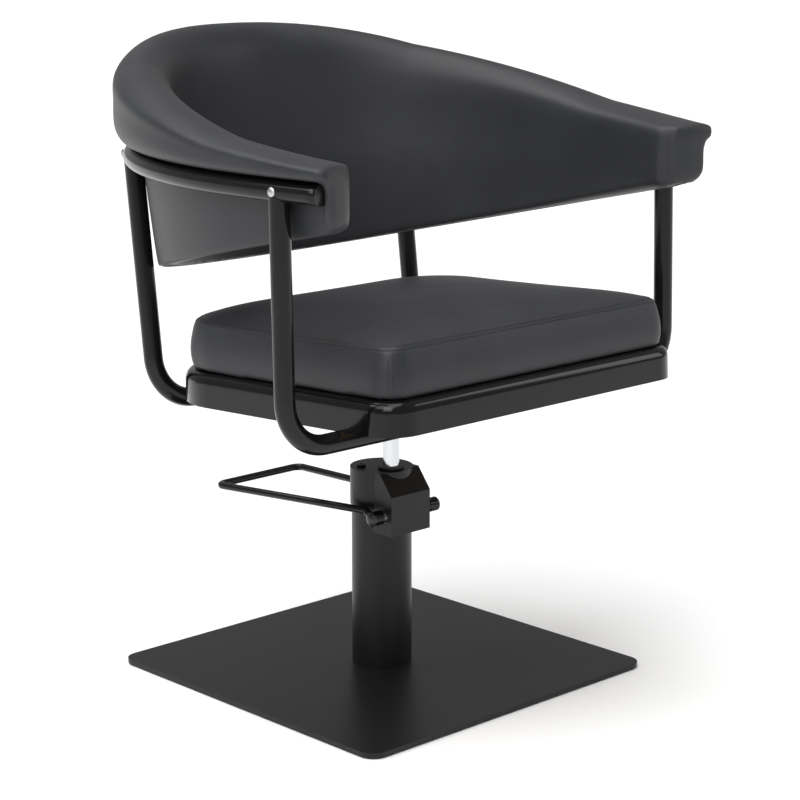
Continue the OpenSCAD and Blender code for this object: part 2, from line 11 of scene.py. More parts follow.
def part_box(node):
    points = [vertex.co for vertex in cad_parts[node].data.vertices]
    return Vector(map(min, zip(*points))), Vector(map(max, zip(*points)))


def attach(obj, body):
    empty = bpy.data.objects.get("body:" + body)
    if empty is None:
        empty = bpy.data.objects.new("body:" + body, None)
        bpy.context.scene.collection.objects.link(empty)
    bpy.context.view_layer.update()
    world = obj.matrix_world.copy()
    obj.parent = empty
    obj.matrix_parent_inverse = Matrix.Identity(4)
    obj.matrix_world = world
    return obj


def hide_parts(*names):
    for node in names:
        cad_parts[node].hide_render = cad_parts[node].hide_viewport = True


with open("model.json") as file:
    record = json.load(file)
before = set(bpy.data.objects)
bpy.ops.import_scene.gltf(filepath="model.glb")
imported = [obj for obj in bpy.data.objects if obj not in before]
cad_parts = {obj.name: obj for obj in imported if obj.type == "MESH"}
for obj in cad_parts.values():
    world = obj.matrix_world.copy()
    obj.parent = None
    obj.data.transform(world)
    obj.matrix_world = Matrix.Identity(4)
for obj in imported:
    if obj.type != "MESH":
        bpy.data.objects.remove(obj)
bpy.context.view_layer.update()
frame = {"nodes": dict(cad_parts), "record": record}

MM = 0.001

# ---------- plan of the back and rail, the same arcs as the CAD rail ----------

SIDE_ANGLE = 54.0
FRONT_ANGLE = 90.0
RAIL_END = 100.5
TUBE_R = 12.5 * MM
RAIL_LOW, RAIL_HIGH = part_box("arm_rail")
RAIL_Z = (RAIL_LOW[2] + RAIL_HIGH[2]) / 2


def next_arc(arc, radius, angle):
    """The arc (radius, centre x, centre y) that leaves another one smoothly at an angle."""
    t = math.radians(angle)
    step = radius - arc[0]
    return (radius, arc[1] - step * math.sin(t), arc[2] - step * math.cos(t))


REAR_ARC = (308 * MM, 0.0, 34 * MM)
SIDE_ARC = next_arc(REAR_ARC, 485 * MM, SIDE_ANGLE)
FRONT_ARC = next_arc(SIDE_ARC, 900 * MM, FRONT_ANGLE)


def plan(angle, offset=0.0):
    """Point beside the rail's curve. The angle is that of the outward normal, from +Y to +X."""
    a = abs(angle)
    arc = REAR_ARC if a < SIDE_ANGLE else SIDE_ARC if a < FRONT_ANGLE else FRONT_ARC
    t = math.radians(a)
    x = arc[1] + (arc[0] + offset) * math.sin(t)
    return math.copysign(x, angle) if angle else x, arc[2] + (arc[0] + offset) * math.cos(t)


# ---------- heights and offsets of the upholstered back ----------

CREST_REAR = 844 * MM
CREST_FRONT = 727 * MM
CREST_END_ANGLE = 101.35
HEM_Z0 = 597 * MM
HEM_SLOPE = -0.21
ROLL_CLEAR = RAIL_Z + TUBE_R + 2.5 * MM
ROLL_MID = -10 * MM
ROLL_HW_REAR = 39 * MM
ROLL_HW_FRONT = 33 * MM
PANEL_OUT = -13.6 * MM
PANEL_IN = -20.5 * MM
PAD_IN = -55 * MM
INNERMOST = -60 * MM
TAPER = 0.12
TAPER_Z = 680 * MM
NOSE_FROM = RAIL_END + 0.24
NOSE_LEN = 13 * MM
NOSE_OUT = 3 * MM
NOSE_OUT_R = 5 * MM
NOSE_TOP_R = 10 * MM
NOSE_INNER_R = 46 * MM
NOSE_INNER_REACH = 44 * MM
NOSE_HEM_R = 18 * MM
NOSE_HEM_REACH = 22 * MM
EAR = 13 * MM
BACK_VOXEL = 3 * MM
BACK_SMOOTHING = 12
NOSE_TIP = NOSE_FROM + math.degrees(NOSE_LEN / FRONT_ARC[0])


def hem_z(angle):
    return HEM_Z0 + HEM_SLOPE * plan(angle)[1]


def crest_z(angle):
    s = min(1.0, abs(angle) / CREST_END_ANGLE) ** 2.3
    return CREST_FRONT + (CREST_REAR - CREST_FRONT) * (1 - s) ** 1.25


def lean(z):
    return TAPER * max(0.0, TAPER_Z - z)


# ---------- mesh helpers ----------

def smooth_loop(points, count):
    """Catmull-Rom curve through a closed ring of control points."""
    p = np.array(points, float)
    n = len(p)
    out = []
    for i in range(count):
        u = i * n / count
        k = int(u)
        t = u - k
        a, b, c, d = p[(k - 1) % n], p[k % n], p[(k + 1) % n], p[(k + 2) % n]
        out.append(0.5 * (2 * b + (c - a) * t + (2 * a - 5 * b + 4 * c - d) * t * t
                          + (3 * b - a - 3 * c + d) * t ** 3))
    return np.array(out)


def mesh_object(name, verts, faces, smooth=True):
    mesh = bpy.data.meshes.new(name)
    mesh.from_pydata([tuple(v) for v in verts], [], faces)
    mesh.update()
    if smooth:
        mesh.polygons.foreach_set("use_smooth", [True] * len(mesh.polygons))
    obj = bpy.data.objects.new(name, mesh)
    bpy.context.scene.collection.objects.link(obj)
    return obj


def outward(obj):
    """Turns every face outward."""
    bm = bmesh.new()
    bm.from_mesh(obj.data)
    bmesh.ops.remove_doubles(bm, verts=bm.verts, dist=1e-6)
    bmesh.ops.recalc_face_normals(bm, faces=bm.faces)
    bm.to_mesh(obj.data)
    bm.free()
    return obj


def lofted(name, rings, cap=True):
    """Skin over rings of equal length, with a fan of faces on the first and last ring."""
    n = len(rings[0])
    m = len(rings)
    verts = [v for ring in rings for v in ring]
    faces = []
    for i in range(m - 1):
        for j in range(n):
            k = (j + 1) % n
            faces.append((i * n + j, i * n + k, (i + 1) * n + k, (i + 1) * n + j))
    if cap:
        for start in (0, (m - 1) * n):
            ring = verts[start:start + n]
            verts.append(tuple(np.mean(np.array(ring, float), axis=0)))
            centre = len(verts) - 1
            for j in range(n):
                faces.append((start + j, start + (j + 1) % n, centre))
    return outward(mesh_object(name, verts, faces))


def subdivide(obj, levels=1):
    mod = obj.modifiers.new("subdivide", "SUBSURF")
    mod.levels = levels
    mod.render_levels = levels
    apply_modifiers(obj)


def apply_modifiers(obj):
    """Replaces the object's mesh by what its modifiers make of it."""
    deps = bpy.context.evaluated_depsgraph_get()
    made = bpy.data.meshes.new_from_object(obj.evaluated_get(deps))
    old = obj.data
    obj.modifiers.clear()
    obj.data = made
    bpy.data.meshes.remove(old)
    obj.data.polygons.foreach_set("use_smooth", [True] * len(obj.data.polygons))


def tube_rings(path, radius, sides=24):
    """Rings of a round bar along a path of points."""
    pts = [Vector(p) for p in path]
    rings = []
    side = None
    for i, p in enumerate(pts):
        ahead = pts[min(i + 1, len(pts) - 1)] - pts[max(i - 1, 0)]
        ahead.normalize()
        if side is None:
            side = ahead.cross(Vector((0, 0, 1)))
            if side.length < 1e-3:
                side = ahead.cross(Vector((1, 0, 0)))
        side = side - ahead * side.dot(ahead)
        side.normalize()
        up = side.cross(ahead)
        r = radius(i / (len(pts) - 1)) if callable(radius) else radius
        rings.append([p + side * (r * math.cos(2 * math.pi * j / sides))
                      + up * (r * math.sin(2 * math.pi * j / sides)) for j in range(sides)])
    return rings


def joined(name, parts):
    """One mesh object out of several lists of rings."""
    objs = [lofted(name + "_part", rings) for rings in parts]
    bm = bmesh.new()
    for o in objs:
        bm.from_mesh(o.data)
    out = bpy.data.objects.new(name, bpy.data.meshes.new(name))
    bm.to_mesh(out.data)
    bm.free()
    bpy.context.scene.collection.objects.link(out)
    for o in objs:
        data = o.data
        bpy.data.objects.remove(o)
        bpy.data.meshes.remove(data)
    out.data.polygons.foreach_set("use_smooth", [True] * len(out.data.polygons))
    return out


# ---------- materials ----------

def node_material(name):
    mat = bpy.data.materials.new(name)
    mat.use_nodes = True
    tree = mat.node_tree
    return mat, tree, tree.nodes["Principled BSDF"]


def object_coords(tree, scale=(1, 1, 1)):
    coords = tree.nodes.new("ShaderNodeTexCoord")
    mapping = tree.nodes.new("ShaderNodeMapping")
    mapping.inputs["Scale"].default_value = scale
    tree.links.new(coords.outputs["Object"], mapping.inputs["Vector"])
    return mapping.outputs["Vector"]


def noise_node(tree, vector, scale, detail=4.0, rough=0.5):
    n = tree.nodes.new("ShaderNodeTexNoise")
    n.inputs["Scale"].default_value = scale
    n.inputs["Detail"].default_value = detail
    n.inputs["Roughness"].default_value = rough
    tree.links.new(vector, n.inputs["Vector"])
    return n.outputs["Fac"]


def ramp(tree, value, stops):
    r = tree.nodes.new("ShaderNodeValToRGB")
    tree.links.new(value, r.inputs["Fac"])
    r.color_ramp.elements[0].position = stops[0][0]
    r.color_ramp.elements[0].color = (*stops[0][1], 1)
    r.color_ramp.elements[1].position = stops[-1][0]
    r.color_ramp.elements[1].color = (*stops[-1][1], 1)
    for pos, col in stops[1:-1]:
        e = r.color_ramp.elements.new(pos)
        e.color = (*col, 1)
    return r.outputs["Color"]


def span(tree, value, low, high):
    r = tree.nodes.new("ShaderNodeMapRange")
    r.inputs["To Min"].default_value = low
    r.inputs["To Max"].default_value = high
    tree.links.new(value, r.inputs["Value"])
    return r.outputs["Result"]


def bump(tree, height, strength, distance, normal=None):
    b = tree.nodes.new("ShaderNodeBump")
    b.inputs["Strength"].default_value = strength
    b.inputs["Distance"].default_value = distance
    tree.links.new(height, b.inputs["Height"])
    if normal is not None:
        tree.links.new(normal, b.inputs["Normal"])
    return b.outputs["Normal"]


def leather_material(name, colour, roughness=(0.42, 0.54)):
    """Fine-grained leatherette: pebble grain, pores, soft creases and a satin finish."""
    mat, tree, shader = node_material(name)
    vec = object_coords(tree)
    pebble = tree.nodes.new("ShaderNodeTexVoronoi")
    pebble.feature = "DISTANCE_TO_EDGE"
    pebble.inputs["Scale"].default_value = 620
    tree.links.new(vec, pebble.inputs["Vector"])
    grain = tree.nodes.new("ShaderNodeMapRange")
    grain.inputs["From Max"].default_value = 0.22
    tree.links.new(pebble.outputs["Distance"], grain.inputs["Value"])
    fine = noise_node(tree, vec, 1500, 3, 0.6)
    broad = noise_node(tree, vec, 9, 5, 0.55)
    soft = noise_node(tree, vec, 38, 3, 0.5)
    tint = ramp(tree, broad, [(0.3, [c * 0.82 for c in colour]), (0.55, colour),
                              (0.75, [c * 1.22 for c in colour])])
    tree.links.new(tint, shader.inputs["Base Color"])
    tree.links.new(span(tree, broad, roughness[0], roughness[1]), shader.inputs["Roughness"])
    n = bump(tree, soft, 0.10, 0.0008)
    n = bump(tree, grain.outputs["Result"], 0.22, 0.00012, n)
    n = bump(tree, fine, 0.12, 0.00006, n)
    tree.links.new(n, shader.inputs["Normal"])
    shader.inputs["Specular IOR Level"].default_value = 0.38
    shader.inputs["Sheen Weight"].default_value = 0.02
    shader.inputs["Sheen Roughness"].default_value = 0.5
    return mat


def enamel_material(name, colour, roughness, peel=0.05, coat=0.0, wear=0.06):
    """Painted steel: orange peel, faint dust and rubbed patches in the gloss."""
    mat, tree, shader = node_material(name)
    vec = object_coords(tree)
    patches = noise_node(tree, vec, 7, 6, 0.6)
    dust = noise_node(tree, vec, 260, 2, 0.7)
    tint = ramp(tree, patches, [(0.35, colour), (0.7, [c * 1.25 + 0.001 for c in colour])])
    tree.links.new(tint, shader.inputs["Base Color"])
    tree.links.new(span(tree, patches, roughness, roughness + wear), shader.inputs["Roughness"])
    tree.links.new(bump(tree, dust, peel, 0.0002), shader.inputs["Normal"])
    shader.inputs["Coat Weight"].default_value = coat
    shader.inputs["Coat Roughness"].default_value = 0.05
    shader.inputs["Coat IOR"].default_value = 1.3
    shader.inputs["Specular IOR Level"].default_value = 0.22
    return mat


def powder_material(name, colour, roughness):
    """Satin powder coat: fine pebbled texture with soft smudges."""
    mat, tree, shader = node_material(name)
    vec = object_coords(tree)
    grit = noise_node(tree, vec, 1400, 2, 0.6)
    smudge = noise_node(tree, vec, 5, 7, 0.62)
    tint = ramp(tree, smudge, [(0.3, colour), (0.72, [c * 1.3 + 0.002 for c in colour])])
    tree.links.new(tint, shader.inputs["Base Color"])
    tree.links.new(span(tree, smudge, roughness - 0.05, roughness + 0.08),
                   shader.inputs["Roughness"])
    tree.links.new(bump(tree, grit, 0.14, 0.0001), shader.inputs["Normal"])
    shader.inputs["Specular IOR Level"].default_value = 0.3
    return mat


def metal_material(name, colour, roughness, brushed=(1, 1, 1), streak=0.08):
    """Bare metal with turning marks along the given stretch."""
    mat, tree, shader = node_material(name)
    marks = noise_node(tree, object_coords(tree, brushed), 900, 3, 0.6)
    haze = noise_node(tree, object_coords(tree), 24, 4, 0.5)
    tint = ramp(tree, haze, [(0.3, [c * 0.9 for c in colour]), (0.7, colour)])
    tree.links.new(tint, shader.inputs["Base Color"])
    tree.links.new(span(tree, marks, roughness, roughness + streak), shader.inputs["Roughness"])
    tree.links.new(bump(tree, marks, 0.05, 0.00005), shader.inputs["Normal"])
    shader.inputs["Metallic"].default_value = 1.0
    return mat


def rubber_material(name, colour):
    mat, tree, shader = node_material(name)
    vec = object_coords(tree)
    grit = noise_node(tree, vec, 700, 4, 0.7)
    tree.links.new(ramp(tree, grit, [(0.3, colour), (0.8, [c * 1.6 for c in colour])]),
                   shader.inputs["Base Color"])
    tree.links.new(span(tree, grit, 0.7, 0.9), shader.inputs["Roughness"])
    tree.links.new(bump(tree, grit, 0.3, 0.0002), shader.inputs["Normal"])
    return mat


def plastic_material(name, colour):
    mat, tree, shader = node_material(name)
    vec = object_coords(tree)
    mottle = noise_node(tree, vec, 420, 3, 0.6)
    tree.links.new(ramp(tree, mottle, [(0.3, colour), (0.8, [c * 1.3 for c in colour])]),
                   shader.inputs["Base Color"])
    tree.links.new(span(tree, mottle, 0.28, 0.4), shader.inputs["Roughness"])
    tree.links.new(bump(tree, mottle, 0.08, 0.0001), shader.inputs["Normal"])
    return mat


def wood_material(name, light, dark):
    """Plywood: stretched grain with darker rings."""
    mat, tree, shader = node_material(name)
    vec = object_coords(tree, (8, 60, 60))
    grain = noise_node(tree, vec, 3, 8, 0.65)
    tree.links.new(ramp(tree, grain, [(0.35, dark), (0.6, light)]), shader.inputs["Base Color"])
    tree.links.new(span(tree, grain, 0.5, 0.7), shader.inputs["Roughness"])
    tree.links.new(bump(tree, grain, 0.2, 0.0003), shader.inputs["Normal"])
    return mat


LEATHER = leather_material("leatherette", (0.019, 0.020, 0.0225))
THREAD = leather_material("thread", (0.012, 0.012, 0.014), (0.55, 0.7))
ENAMEL = enamel_material("gloss_enamel", (0.005, 0.005, 0.0055), 0.17, 0.05, 0.2)
LACQUER = enamel_material("pan_lacquer", (0.0025, 0.0025, 0.003), 0.12, 0.03, 0.25, 0.04)
POWDER = powder_material("powder_coat", (0.006, 0.006, 0.0066), 0.36)
CHROME = metal_material("rod_chrome", (0.62, 0.63, 0.65), 0.10, (1, 1, 14), 0.06)
STEEL = metal_material("machined_steel", (0.55, 0.55, 0.57), 0.28, (1, 1, 12), 0.14)
ZINC = metal_material("zinc_plate", (0.50, 0.51, 0.53), 0.30, (1, 1, 1), 0.12)
BRONZE = metal_material("bronze_bush", (0.62, 0.40, 0.18), 0.34, (1, 1, 6), 0.12)
RUBBER = rubber_material("rubber_sheet", (0.012, 0.012, 0.012))
PLASTIC = plastic_material("moulded_plastic", (0.010, 0.010, 0.011))
WOOD = wood_material("birch_ply", (0.55, 0.41, 0.25), (0.34, 0.22, 0.12))

SLOT_MATERIALS = {
    "rubber_black": RUBBER,
    "satin_black_metal": POWDER,
    "gloss_black_metal": ENAMEL,
    "gloss_black_pan": LACQUER,
    "chrome_rod": CHROME,
    "machined_steel": STEEL,
    "zinc_steel": ZINC,
    "bronze": BRONZE,
    "black_plastic": PLASTIC,
    "wood": WOOD,
    "leather_black": LEATHER,
}


def dress(obj, material):
    obj.data.materials.clear()
    obj.data.materials.append(material)
    return obj


def piece(obj, body, slot, material, *nodes):
    """Finishes a piece: material, body and the CAD nodes it stands for. The slot argument is not
    used.
    """
    dress(obj, material)
    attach(obj, body)
    if nodes:
        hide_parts(*nodes)
    return obj


for entry in frame["record"]["subparts"]:
    cad = frame["nodes"][entry["node"]]
    dress(cad, SLOT_MATERIALS[entry["material_slot"]])

# ---------- upholstered back ----------

SECTION_POINTS = 96
STATIONS = 150


def pad_section(angle):
    """Closed section of roll and pad as (offset, height). The roll comes down outside the panel."""
    zb, zc, zs = hem_z(angle), crest_z(angle), ROLL_CLEAR
    share = min(1.0, abs(angle) / CREST_END_ANGLE) ** 1.5
    hw = ROLL_HW_REAR + (ROLL_HW_FRONT - ROLL_HW_REAR) * share
    h = zc - zs
    out, low = ROLL_MID + hw - 4 * MM, lean(zb)
    mid = (zb + zs) / 2
    return [
        (PANEL_IN - low - 0.5 * MM, zb + 16 * MM),
        (PANEL_IN - low - 2 * MM, zb + 1 * MM),
        (-36 * MM - low, zb - 1 * MM),
        (PAD_IN - low + 4 * MM, zb + 5 * MM),
        (PAD_IN - low - 1 * MM, zb + 18 * MM),
        (PAD_IN - lean(mid) - 2 * MM, mid),
        (PAD_IN - 1 * MM, zs - 0.05 * h),
        (PAD_IN + 1 * MM, zs + 0.45 * h),
        (PAD_IN + 6 * MM, zs + 0.74 * h),
        (ROLL_MID - 0.66 * hw, zc - 0.08 * h),
        (ROLL_MID - 0.15 * hw, zc + 0.005 * h),
        (ROLL_MID + 0.42 * hw, zc - 0.05 * h),
        (ROLL_MID + 0.86 * hw, zc - 0.22 * h),
        (out, zc - 0.47 * h),
        (ROLL_MID + 0.88 * hw, zs + 0.22 * h),
        (ROLL_MID + 0.62 * hw, zs + 0.05 * h),
        (ROLL_MID + 0.25 * hw, zs - 0.2 * MM),
        (-11 * MM, zs + 0.5 * MM),
        (PANEL_IN - 0.5 * MM, zs + 2.5 * MM),
        (PANEL_IN - 1 * MM, zs - 5 * MM),
        (PANEL_IN - lean(mid), mid),
    ]


def rounding(d, radius, length=None):
    """How far an edge has curved in at distance d from the front of the arm."""
    u = min(1.0, max(0.0, 1 - d / (length or radius)))
    return radius * (1 - math.sqrt(1 - u * u))


def from_tip(angle):
    return max(0.0, math.radians(NOSE_TIP - abs(angle)) * FRONT_ARC[0])


def inner_limit(d):
    return INNERMOST + rounding(d, NOSE_INNER_R, NOSE_INNER_REACH)


def bottom_rise(d):
    return rounding(d, NOSE_HEM_R, NOSE_HEM_REACH)


def section_ring(angle):
    """Ring of points at a station. Near the front of an arm its inner and lower edges curve in."""
    loop = smooth_loop(pad_section(angle), SECTION_POINTS)
    d = from_tip(angle)
    loop[:, 0] = np.maximum(loop[:, 0], inner_limit(d))
    loop[:, 1] = np.maximum(loop[:, 1], hem_z(angle) + bottom_rise(d))
    loop[:, 1] = np.minimum(loop[:, 1], crest_z(angle) - rounding(d, NOSE_TOP_R) + 1 * MM)
    return [(*plan(angle, o), z) for o, z in loop]


def nose_outline(d):
    """Front of an arm at distance d from its tip, as (offset, height)."""
    inn, out = inner_limit(d), NOSE_OUT - rounding(d, NOSE_OUT_R)
    low, top = hem_z(RAIL_END) + bottom_rise(d), CREST_FRONT - rounding(d, NOSE_TOP_R)
    width = out - inn
    rb, rt = min(20 * MM, 0.45 * width), min(22 * MM, 0.5 * width)
    ear, neck = out + EAR, ROLL_CLEAR - 4 * MM
    turn = [math.pi / 2 * i / 6 for i in range(7)]
    pts = [(inn + rb - rb * math.sin(t), low + rb - rb * math.cos(t)) for t in turn]
    pts += [(inn, (low + top) / 2 - 6 * MM), (inn, (low + top) / 2 + 6 * MM)]
    pts += [(inn + rt - rt * math.cos(t), top - rt + rt * math.sin(t)) for t in turn]
    pts += [(ear - 9 * MM, top - 0.5 * MM), (ear - 2 * MM, top - 4 * MM), (ear, top - 11 * MM)]
    pts += [(out + 4 * MM, neck + 2 * MM), (out, neck - 8 * MM), (out, (low + neck) / 2)]
    pts += [(out - rb + rb * math.cos(t), low + rb - rb * math.sin(t)) for t in turn]
    return smooth_loop(pts, 96)


def nose_rings(side):
    """Padded end of an arm, standing in front of the rail's end, as rings towards the front."""
    rings = []
    for share in (1.0, 0.85, 0.7, 0.55, 0.4, 0.28, 0.18, 0.1, 0.04, 0.01):
        d = share * NOSE_LEN
        a = side * (NOSE_TIP - math.degrees(d / FRONT_ARC[0]))
        rings.append([(*plan(a, o), z) for o, z in nose_outline(d)])
    return rings


def make_back_pad():
    last = CREST_END_ANGLE - math.degrees(4 * MM / FRONT_ARC[0])
    rings = []
    for i in range(STATIONS + 1):
        rings.append(section_ring(last * (2 * i / STATIONS - 1)))
    pad = joined("back_pad", [rings, nose_rings(1), nose_rings(-1)])
    remesh = pad.modifiers.new("remesh", "REMESH")
    remesh.mode = "VOXEL"
    remesh.voxel_size = BACK_VOXEL
    soften = pad.modifiers.new("soften", "SMOOTH")
    soften.factor = 0.5
    soften.iterations = BACK_SMOOTHING
    apply_modifiers(pad)
    piece(pad, "seat", "leather_black", LEATHER, "back_inner_pad", "arm_noses", "back_roll")
    return pad


def panel_section(angle):
    """Outer panel: a thin flat board in leatherette with soft edges."""
    zb, zt = hem_z(angle) + 1 * MM + bottom_rise(from_tip(angle)), ROLL_CLEAR + 6 * MM
    edge = 3.2 * MM
    mid = (zb + zt) / 2
    knee = max(zb + 2 * edge, min(TAPER_Z, zt - 2 * edge))
    face = [(PANEL_OUT, zb + edge), (PANEL_OUT + 0.6 * MM, (zb + knee) / 2), (PANEL_OUT, knee),
            (PANEL_OUT, zt - edge)]
    back = [(PANEL_IN + 0.5 * MM, zt - edge), (PANEL_IN + 0.5 * MM, mid),
            (PANEL_IN + 0.5 * MM, zb + edge)]
    centre = (PANEL_OUT + PANEL_IN) / 2
    loop = face + [(centre, zt)] + back + [(centre, zb)]
    return [(o - lean(z), z) for o, z in loop]


def make_outer_panel():
    rings = []
    for i in range(STATIONS + 1):
        a = NOSE_FROM * (2 * i / STATIONS - 1)
        rings.append([(*plan(a, o), z) for o, z in smooth_loop(panel_section(a), 40)])
    panel = lofted("outer_panel", rings)
    piece(panel, "seat", "leather_black", LEATHER, "back_outer_panel")
    return panel


make_back_pad()
make_outer_panel()

# ---------- seat cushion ----------

RAKE = math.radians(3)
SEAT_Z0 = 392.67 * MM
PAN_H = 42 * MM
CUSHION_HW = 251 * MM
CUSHION_FRONT = -269 * MM
CUSHION_REAR = 169 * MM
FRONT_R = 34 * MM
REAR_R = 104 * MM
SEAM_INSET = 9 * MM
SEAM_H = PAN_H + 60 * MM
CROWN = 20 * MM
PAN_GAP = 0.4 * MM
FOOT_INSET = 5 * MM
BELLY = 5.5 * MM
SIDE_BOW = 1.5 * MM
CUSHION_VOXEL = 5 * MM
CLOTH_FRAMES = 20
CLOTH_PRESSURE = 4.0
CLOTH_CAP = 8 * MM
SEAM_HOLD = 9 * MM
GROOVE_W = 2.4 * MM
GROOVE_D = 1.1 * MM
CORNER_POINTS = 24
SIDE_POINTS = 40


def raked(x, v, h):
    """Point of the seat: x across, v back along the rake, h above the pan's underside."""
    return Vector((x, v * math.cos(RAKE) + h * math.sin(RAKE),
                   SEAT_Z0 - v * math.sin(RAKE) + h * math.cos(RAKE)))


def cushion_outline(inset, bow=0.0):
    """Rounded outline, the same count of points for every inset. bow pulls the sides in."""
    hw = CUSHION_HW - inset
    y0, y1 = CUSHION_FRONT + inset, CUSHION_REAR - inset
    rf, rr = max(6 * MM, FRONT_R - inset), max(6 * MM, REAR_R - inset)
    corners = [(hw - rf, y0 + rf, rf, -90), (hw - rr, y1 - rr, rr, 0),
               (-hw + rr, y1 - rr, rr, 90), (-hw + rf, y0 + rf, rf, 180)]
    pts = []
    for k, (cx, cy, r, start) in enumerate(corners):
        for i in range(CORNER_POINTS + 1):
            t = math.radians(start + 90 * i / CORNER_POINTS)
            pts.append((cx + r * math.cos(t), cy + r * math.sin(t)))
        nx, ny, nr, nstart = corners[(k + 1) % 4]
        t = math.radians(nstart)
        end = (nx + nr * math.cos(t), ny + nr * math.sin(t))
        x, y = pts[-1]
        normal = (math.cos(t), math.sin(t))
        for i in range(1, SIDE_POINTS):
            u = i / SIDE_POINTS
            dip = bow * math.sin(math.pi * u)
            pts.append((x + (end[0] - x) * u - normal[0] * dip,
                        y + (end[1] - y) * u - normal[1] * dip))
    return pts


def cushion_rings():
    """Rings from the bottom's middle, out, up the side, over the seam and in over the top."""
    mid_y = (CUSHION_FRONT + CUSHION_REAR) / 2
    rings = []
    bottom = cushion_outline(2 * MM)
    for s in (0.02, 0.4, 0.8):
        rings.append([raked(x * s, mid_y + (y - mid_y) * s, PAN_H + PAN_GAP) for x, y in bottom])
    side = SEAM_H - PAN_H
    for i in range(13):
        u = i / 12
        belly = BELLY * math.sin(math.pi * u ** 0.8)
        inset = FOOT_INSET + (SEAM_INSET - FOOT_INSET) * u - belly
        rings.append([raked(x, y, PAN_H + PAN_GAP + side * u)
                      for x, y in cushion_outline(inset, SIDE_BOW * u)])
    seam = cushion_outline(SEAM_INSET, SIDE_BOW)
    for i in range(1, 29):
        s = (i / 28) ** 1.35
        rise = CROWN * (1 - (1 - s) ** 4.6)
        k = max(0.012, 1 - s)
        rings.append([raked(x * k, mid_y + (y - mid_y) * k, SEAM_H + rise) for x, y in seam])
    return rings


def height_above_pan(co):
    """Height of a point above the pan's underside, square to the raked seat."""
    return co.y * math.sin(RAKE) + (co.z - SEAT_Z0) * math.cos(RAKE)


def puffed(obj, hold, pressure, cap):
    """Inflates a closed mesh by cloth simulation, holding the vertices that hold() picks."""
    start = [v.co.copy() for v in obj.data.vertices]
    group = obj.vertex_groups.new(name="hold")
    for v in obj.data.vertices:
        w = hold(v.co)
        if w > 0:
            group.add([v.index], w, "REPLACE")
    mod = obj.modifiers.new("cloth", "CLOTH")
    cfg = mod.settings
    cfg.quality = 5
    cfg.mass = 0.3
    cfg.tension_stiffness = 30
    cfg.compression_stiffness = 30
    cfg.bending_stiffness = 3
    cfg.use_pressure = True
    cfg.uniform_pressure_force = pressure
    cfg.vertex_group_mass = "hold"
    cfg.effector_weights.gravity = 0
    mod.collision_settings.use_collision = False
    mod.point_cache.frame_start = 1
    mod.point_cache.frame_end = CLOTH_FRAMES
    for f in range(1, CLOTH_FRAMES + 1):
        bpy.context.scene.frame_set(f)
    apply_modifiers(obj)
    bpy.context.scene.frame_set(1)
    for v, s in zip(obj.data.vertices, start):
        move = v.co - s
        if move.length > cap:
            v.co = s + move * (cap / move.length)


def seam_weight(tree, width):
    """Weights that hold the cushion's foot and, with a soft edge, its seam."""
    def weight(co):
        h = height_above_pan(co)
        if h < PAN_H + 5 * MM:
            return 1.0
        near = tree.find_nearest(co)[3]
        return max(0.0, 1 - near / width)
    return weight


def seam_tree(points):
    """Distance to a polyline, as a thin ribbon in a BVH."""
    verts, faces = [], []
    for i, p in enumerate(points):
        verts += [p, p + Vector((0, 0, 0.1 * MM))]
        j = (i + 1) % len(points)
        faces.append((2 * i, 2 * j, 2 * j + 1, 2 * i + 1))
    return BVHTree.FromPolygons(verts, faces)


def make_cushion():
    rings = cushion_rings()
    cushion = lofted("cushion", rings)
    seam = [raked(x, y, SEAM_H) for x, y in cushion_outline(SEAM_INSET, SIDE_BOW)]
    tree = seam_tree(seam)
    remesh = cushion.modifiers.new("remesh", "REMESH")
    remesh.mode = "VOXEL"
    remesh.voxel_size = CUSHION_VOXEL
    apply_modifiers(cushion)
    puffed(cushion, seam_weight(tree, SEAM_HOLD), CLOTH_PRESSURE, CLOTH_CAP)
    subdivide(cushion)
    for v in cushion.data.vertices:
        near = tree.find_nearest(v.co)[3]
        if near < 4 * GROOVE_W:
            v.co -= v.normal * (GROOVE_D * math.exp(-(near / GROOVE_W) ** 2))
    piece(cushion, "seat", "leather_black", LEATHER, "seat_cushion")
    return cushion, seam


def surface_tree(obj):
    mesh = obj.data
    return BVHTree.FromPolygons([v.co.copy() for v in mesh.vertices],
                                [tuple(p.vertices) for p in mesh.polygons])


def evenly(points, step, closed):
    """Points along a polyline at even steps."""
    pts = list(points) + ([points[0]] if closed else [])
    out, carry = [], 0.0
    for a, b in zip(pts, pts[1:]):
        gap = (b - a).length
        at = carry
        while at < gap:
            out.append(a.lerp(b, at / gap))
            at += step
        carry = at - gap
    return out


def stitches(name, surface, lines, length=3.6 * MM, pitch=5.2 * MM, radius=0.42 * MM):
    """Thread dashes lying on a surface along several lines."""
    parts = []
    for line, closed in lines:
        dots = evenly(line, pitch, closed)
        for a, b in zip(dots, dots[1:]):
            ahead = (b - a)
            if ahead.length > 2 * pitch or ahead.length < 1e-6:
                continue
            ahead.normalize()
            mid = (a + b) / 2
            hit, normal = surface.find_nearest(mid)[:2]
            path = []
            for k in (-1, -0.6, 0, 0.6, 1):
                lift = radius * (0.55 - 1.1 * abs(k) ** 3)
                path.append(hit + ahead * (k * length / 2) + normal * lift)
            parts.append(tube_rings(path, radius, 6))
    obj = joined(name, parts)
    return piece(obj, "seat", "leather_black", THREAD)


def welt(name, surface, line, radius):
    """Raised fold of leatherette along a closed seam."""
    pts = [surface.find_nearest(p)[0] for p in evenly(line, 4 * MM, True)]
    rings = tube_rings(pts + [pts[0]], radius, 10)
    obj = lofted(name, rings)
    return piece(obj, "seat", "leather_black", LEATHER)


cushion, seam_line = make_cushion()
cushion_skin = surface_tree(cushion)
welt("cushion_seam", cushion_skin, seam_line, 1.1 * MM)


